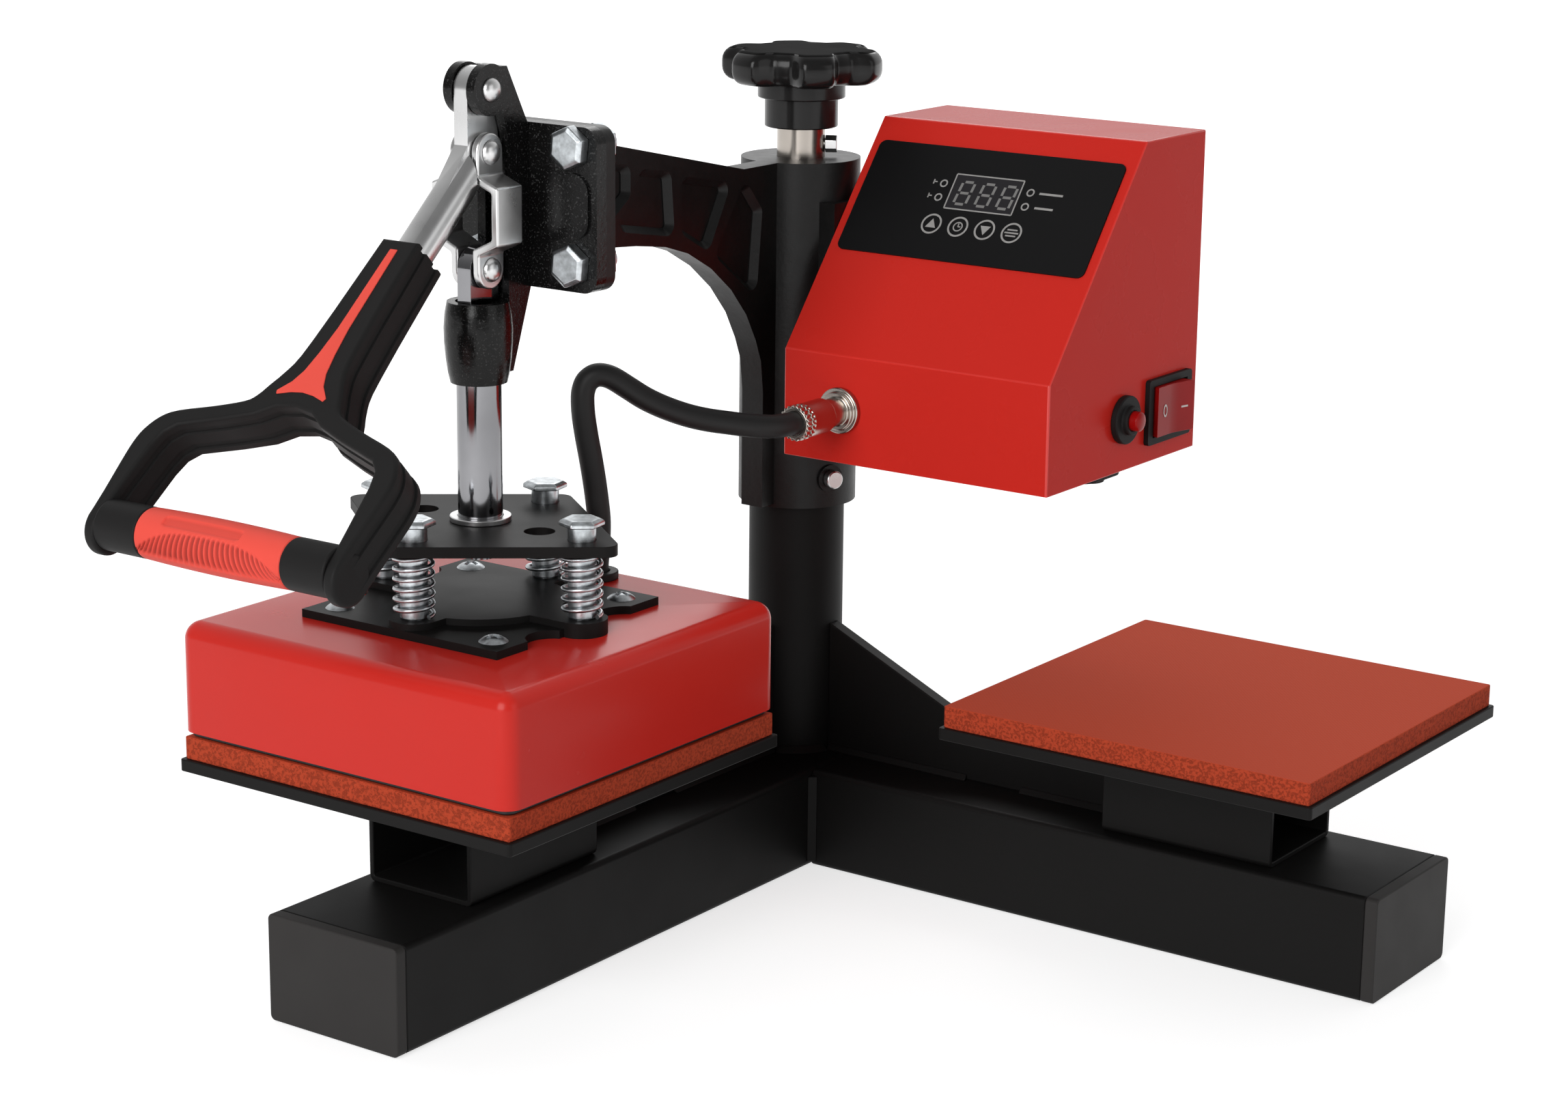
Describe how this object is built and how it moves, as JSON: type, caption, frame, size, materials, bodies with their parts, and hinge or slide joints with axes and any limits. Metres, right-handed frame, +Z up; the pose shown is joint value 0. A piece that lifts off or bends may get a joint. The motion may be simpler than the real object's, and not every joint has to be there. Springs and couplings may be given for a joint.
{
  "type": "heat press",
  "caption": "Two station swing-away heat press with a toggle lever, sprung heated platen, cast arm, slanted control box and an L shaped base.",
  "frame": {"origin": "point on the floor under the column axis", "axes": "+Z up, front station along -Y, side station along +X"},
  "size_m": [0.3535, 0.4081, 0.3323],
  "materials": {
    "black_tube": "satin",
    "black_plate": "satin",
    "black_cast": "satin",
    "red_paint": "gloss",
    "zinc": "satin",
    "chrome": "polished",
    "silicone": "matte",
    "black_plastic": "matte",
    "black_rubber": "matte",
    "red_grip": "matte",
    "panel_film": "gloss",
    "window": "gloss",
    "legend": "matte",
    "red_switch": "gloss",
    "aluminium": "satin",
    "steel": "satin"
  },
  "bodies": {
    "base": {"front_leg": "black_tube", "side_leg": "black_tube", "end_caps": "black_tube", "column": "black_tube", "column_bush": "steel", "gussets": "black_tube", "weld_beads": "black_tube", "support_channels": "black_tube", "station_plates": "black_plate", "silicone_pads": "silicone"},
    "lift": {"lift_sleeve": "chrome", "sleeve_screw": "zinc"},
    "knob": {"star_knob": "black_plastic", "knob_spindle": "zinc"},
    "arm": {"arm_casting": "black_cast", "hub_lock_screw": "zinc", "toggle_casting": "black_cast", "flange_bolts": "zinc", "fixed_pin": "zinc", "box_shell": "red_paint", "box_back": "red_paint", "key_panel": "panel_film", "display_window": "window", "display_digits": "legend", "panel_keys": "legend", "panel_lamps": "legend", "switch_frame": "black_plastic", "breaker_collar": "black_plastic", "cord_gland": "black_plastic", "panel_socket": "chrome", "cable_plug": "chrome", "platen_cable": "black_rubber"},
    "rocker": {"power_rocker": "red_switch"},
    "button": {"reset_button": "red_switch"},
    "lever": {"toggle_lever": "zinc", "handle_frame": "black_plastic", "handle_inlay": "red_grip", "grip_core": "black_plastic", "grip_sleeve": "red_grip"},
    "links": {"link_straps": "zinc", "link_pins": "zinc"},
    "plunger": {"plunger_rod": "chrome", "rod_collar": "zinc", "spider_plate": "black_plate", "rod_nut": "black_plate"},
    "platen": {"heat_plate": "aluminium", "platen_cover": "red_paint", "pressure_plate": "black_plate", "plate_screws": "zinc", "shoulder_bolts": "zinc", "platen_springs": "zinc", "cable_grommet": "black_rubber"}
  },
  "joints": [
    {"name": "lift_slide", "type": "slide", "parent": "base", "child": "lift", "axis": [0, 0, 1], "range_m": [0, 0.008]},
    {"name": "knob_turn", "type": "hinge", "parent": "lift", "child": "knob", "pos_m": [0, 0, 0.31], "axis": [0, 0, 1], "range_deg": [0, 1440]},
    {"name": "arm_swing", "type": "hinge", "parent": "lift", "child": "arm", "pos_m": [0, 0, 0.2], "axis": [0, 0, 1], "range_deg": [0, 90]},
    {"name": "rocker_tilt", "type": "hinge", "parent": "arm", "child": "rocker", "pos_m": [0.141, 0.0413, 0.1911], "axis": [0, 0, 1], "range_deg": [0, 14]},
    {"name": "reset_press", "type": "slide", "parent": "arm", "child": "button", "axis": [-1, 0, 0], "range_m": [0, 0.002], "stiffness_N_per_m": 300, "springref_m": -0.003},
    {"name": "lever_lift", "type": "hinge", "parent": "arm", "child": "lever", "pos_m": [0, -0.195, 0.3233], "axis": [1, 0, 0], "range_deg": [-90, 0]},
    {"name": "link_turn", "type": "hinge", "parent": "lever", "child": "links", "pos_m": [0, -0.195, 0.3018], "axis": [1, 0, 0], "range_deg": [0, 121.72]},
    {"name": "plunger_slide", "type": "slide", "parent": "arm", "child": "plunger", "axis": [0, 0, 1], "range_m": [0, 0.0276], "deforming": ["platen_cable"]},
    {"name": "platen_float", "type": "slide", "parent": "plunger", "child": "platen", "axis": [0, 0, 1], "range_m": [0, 0.004], "stiffness_N_per_m": 6000, "deforming": ["platen_springs", "platen_cable"]}
  ],
  "couplings": [
    {"joint": "knob_turn", "follows": "lift_slide", "rad_per_m": 3141.6},
    {"joint": "link_turn", "follows": "lever_lift", "ratio": -1.3524},
    {"joint": "plunger_slide", "follows": "lever_lift", "m_per_rad": -0.017577}
  ]
}
